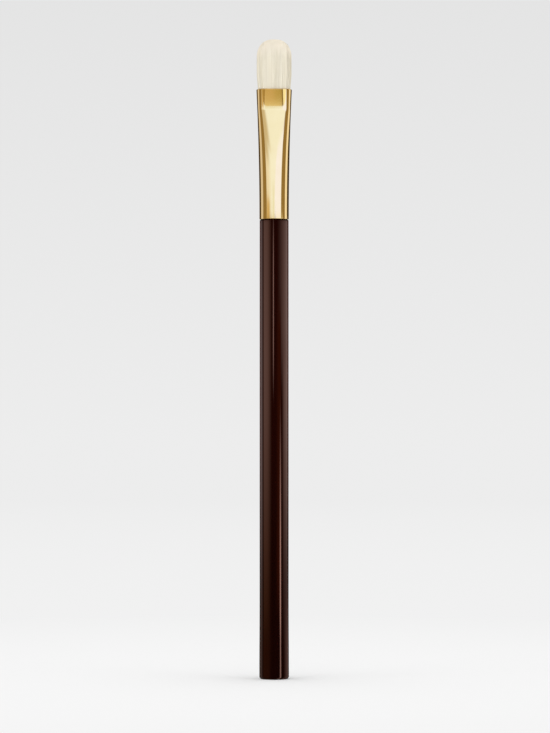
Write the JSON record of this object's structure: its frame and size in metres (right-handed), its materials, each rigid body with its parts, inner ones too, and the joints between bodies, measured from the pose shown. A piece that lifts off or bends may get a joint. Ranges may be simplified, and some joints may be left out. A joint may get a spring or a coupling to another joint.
{
  "type": "concealer brush",
  "caption": "Slim make-up brush: lacquered cylindrical handle, gilt ferrule flattened towards its mouth, and a short, flat, round-tipped tuft of bristles for applying concealer.",
  "frame": {"origin": "centre of the handle's flat end face, which the brush stands on", "axes": "+Z along the handle towards the bristles, +X across the tuft's width, +Y through its thickness with the pictured face towards -Y"},
  "size_m": [0.0086, 0.0072, 0.155],
  "materials": {
    "handle": "high-gloss dark red-brown lacquer",
    "ferrule": "polished gilt",
    "handle_adhesive": "clear cured adhesive",
    "root_plug": "amber cured resin",
    "binding_thread": "undyed thread",
    "bristle_tuft": "cream-white bristle"
  },
  "bodies": {
    "brush": {"handle": "handle", "ferrule": "ferrule", "handle_adhesive": "handle_adhesive", "root_plug": "root_plug", "binding_thread": "binding_thread"},
    "tuft": {"bristle_tuft": "bristle_tuft"}
  },
  "joints": [
    {"name": "tuft_bend", "type": "hinge", "parent": "brush", "child": "tuft", "pos_m": [0, 0, 0.1427], "axis": [1, 0, 0], "range_deg": [-30, 30], "stiffness_Nm_per_rad": 0.002}
  ]
}
